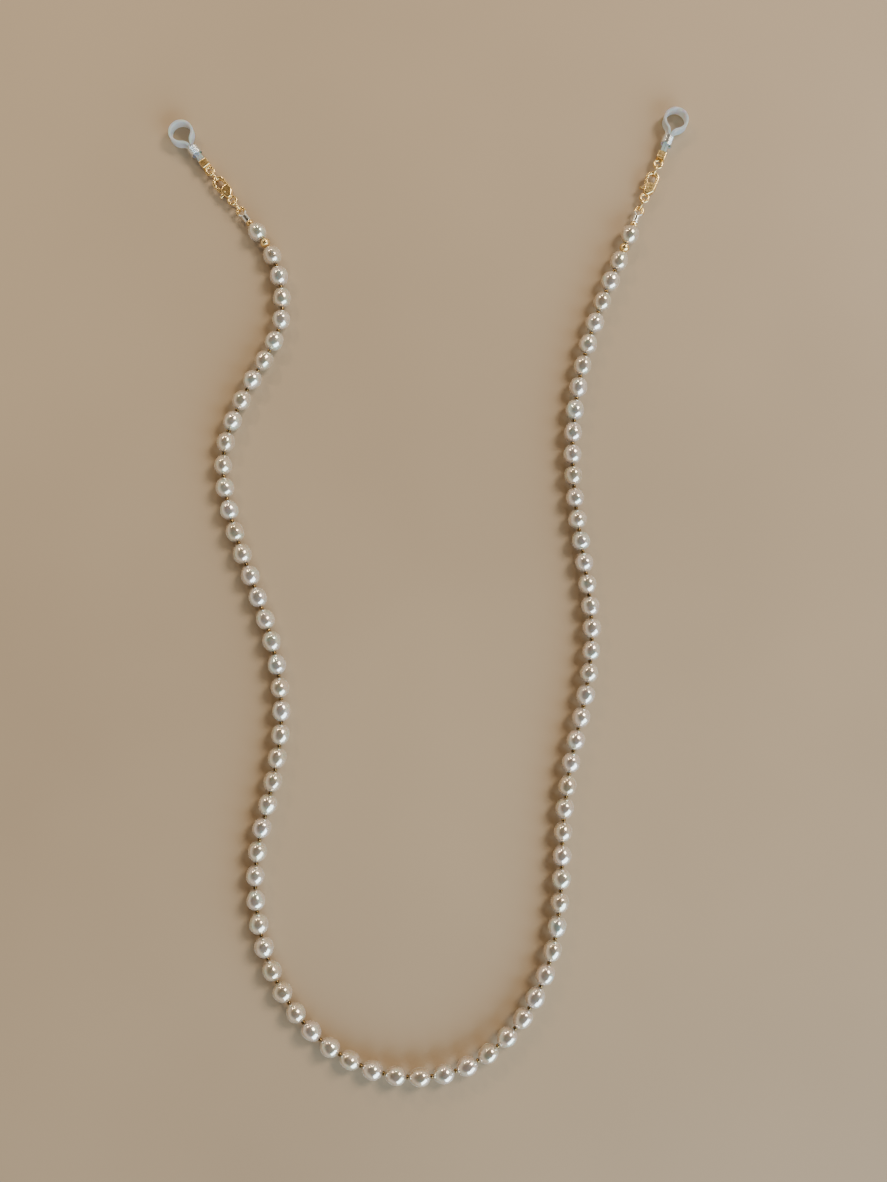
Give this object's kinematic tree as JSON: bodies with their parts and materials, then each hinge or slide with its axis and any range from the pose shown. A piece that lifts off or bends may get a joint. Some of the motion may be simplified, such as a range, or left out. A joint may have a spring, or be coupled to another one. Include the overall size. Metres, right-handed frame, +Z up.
{
  "type": "eyeglasses chain strap",
  "caption": "Long pearl-bead strap for glasses, with seed-bead spacers, lobster clasps and a stretch silicone loop with a sliding coil at each end.",
  "frame": {"origin": "centre of the whole outline, on the surface that the strap lies on", "axes": "+Y from the bottom of the drape towards the two ends that take the temples, +X to the right seen from above, +Z up"},
  "size_m": [0.1613, 0.2939, 0.0056],
  "materials": {
    "pearl": "creamy white nacre with a high lustre",
    "seed_gold": "polished, dark gold",
    "gold": "polished gold plate",
    "silver": "polished silver-tone",
    "silicone": "translucent, pale and slightly matte",
    "thread": "fine beading thread",
    "spring_steel": "bright wire"
  },
  "bodies": {
    "strand": {"thread": "thread", "pearls_left_end": "pearl", "pearls_left_upper": "pearl", "pearls_left_lower": "pearl", "pearls_bottom_left": "pearl", "pearls_bottom_right": "pearl", "pearls_right_lower": "pearl", "pearls_right_upper": "pearl", "pearls_right_end": "pearl", "seed_beads_left": "seed_gold", "seed_beads_bottom": "seed_gold", "seed_beads_right": "seed_gold", "left_spacer_bead": "gold", "left_end_bead": "gold", "left_crimp": "silver", "left_wire_loop": "thread", "left_wire_guard": "gold", "right_spacer_bead": "gold", "right_end_bead": "gold", "right_crimp": "silver", "right_wire_loop": "thread", "right_wire_guard": "gold"},
    "left_tail_ring": {"left_tail_ring": "gold"},
    "left_clasp": {"left_clasp_body": "gold", "left_clasp_rivet": "gold", "left_clasp_spring": "spring_steel"},
    "left_lever": {"left_clasp_lever": "gold"},
    "left_loop_ring": {"left_loop_ring": "gold"},
    "left_loop": {"left_loop_ferrule": "gold", "left_silicone_loop": "silicone"},
    "left_coil": {"left_slide_coil": "silver"},
    "right_tail_ring": {"right_tail_ring": "gold"},
    "right_clasp": {"right_clasp_body": "gold", "right_clasp_rivet": "gold", "right_clasp_spring": "spring_steel"},
    "right_lever": {"right_clasp_lever": "gold"},
    "right_loop_ring": {"right_loop_ring": "gold"},
    "right_loop": {"right_loop_ferrule": "gold", "right_silicone_loop": "silicone"},
    "right_coil": {"right_slide_coil": "silver"}
  },
  "joints": [
    {"name": "left_tail_ring_swing", "type": "hinge", "parent": "strand", "child": "left_tail_ring", "pos_m": [-0.05812, 0.11421, 0.0021], "axis": [0, 0, 1], "range_deg": [-40, 40]},
    {"name": "left_clasp_swing", "type": "hinge", "parent": "left_tail_ring", "child": "left_clasp", "pos_m": [-0.06035, 0.11717, 0.0021], "axis": [0, 0, 1], "range_deg": [-40, 40]},
    {"name": "left_lever_press", "type": "hinge", "parent": "left_clasp", "child": "left_lever", "pos_m": [-0.06293, 0.11985, 0.0021], "axis": [0, 0, 1], "range_deg": [-45, 0], "stiffness_Nm_per_rad": 0.004, "springref_deg": 11.46},
    {"name": "left_loop_ring_swing", "type": "hinge", "parent": "left_clasp", "child": "left_loop_ring", "pos_m": [-0.06519, 0.1236, 0.0021], "axis": [0, 0, 1], "range_deg": [-40, 40]},
    {"name": "left_loop_swing", "type": "hinge", "parent": "left_loop_ring", "child": "left_loop", "pos_m": [-0.06742, 0.12655, 0.0021], "axis": [0, 0, 1], "range_deg": [-40, 40]},
    {"name": "left_coil_slide", "type": "slide", "parent": "left_loop", "child": "left_coil", "axis": [0.6018, -0.7986, 0], "range_m": [0, 0.0024]},
    {"name": "right_tail_ring_swing", "type": "hinge", "parent": "strand", "child": "right_tail_ring", "pos_m": [0.06513, 0.11438, 0.0021], "axis": [0, 0, 1], "range_deg": [-40, 40]},
    {"name": "right_clasp_swing", "type": "hinge", "parent": "right_tail_ring", "child": "right_clasp", "pos_m": [0.06651, 0.11781, 0.0021], "axis": [0, 0, 1], "range_deg": [-40, 40]},
    {"name": "right_lever_press", "type": "hinge", "parent": "right_clasp", "child": "right_lever", "pos_m": [0.06748, 0.12141, 0.0021], "axis": [0, 0, 1], "range_deg": [-45, 0], "stiffness_Nm_per_rad": 0.004, "springref_deg": 11.46},
    {"name": "right_loop_ring_swing", "type": "hinge", "parent": "right_clasp", "child": "right_loop_ring", "pos_m": [0.06953, 0.12527, 0.0021], "axis": [0, 0, 1], "range_deg": [-40, 40]},
    {"name": "right_loop_swing", "type": "hinge", "parent": "right_loop_ring", "child": "right_loop", "pos_m": [0.07092, 0.12871, 0.0021], "axis": [0, 0, 1], "range_deg": [-40, 40]},
    {"name": "right_coil_slide", "type": "slide", "parent": "right_loop", "child": "right_coil", "axis": [-0.3746, -0.9272, 0], "range_m": [0, 0.0024]}
  ]
}
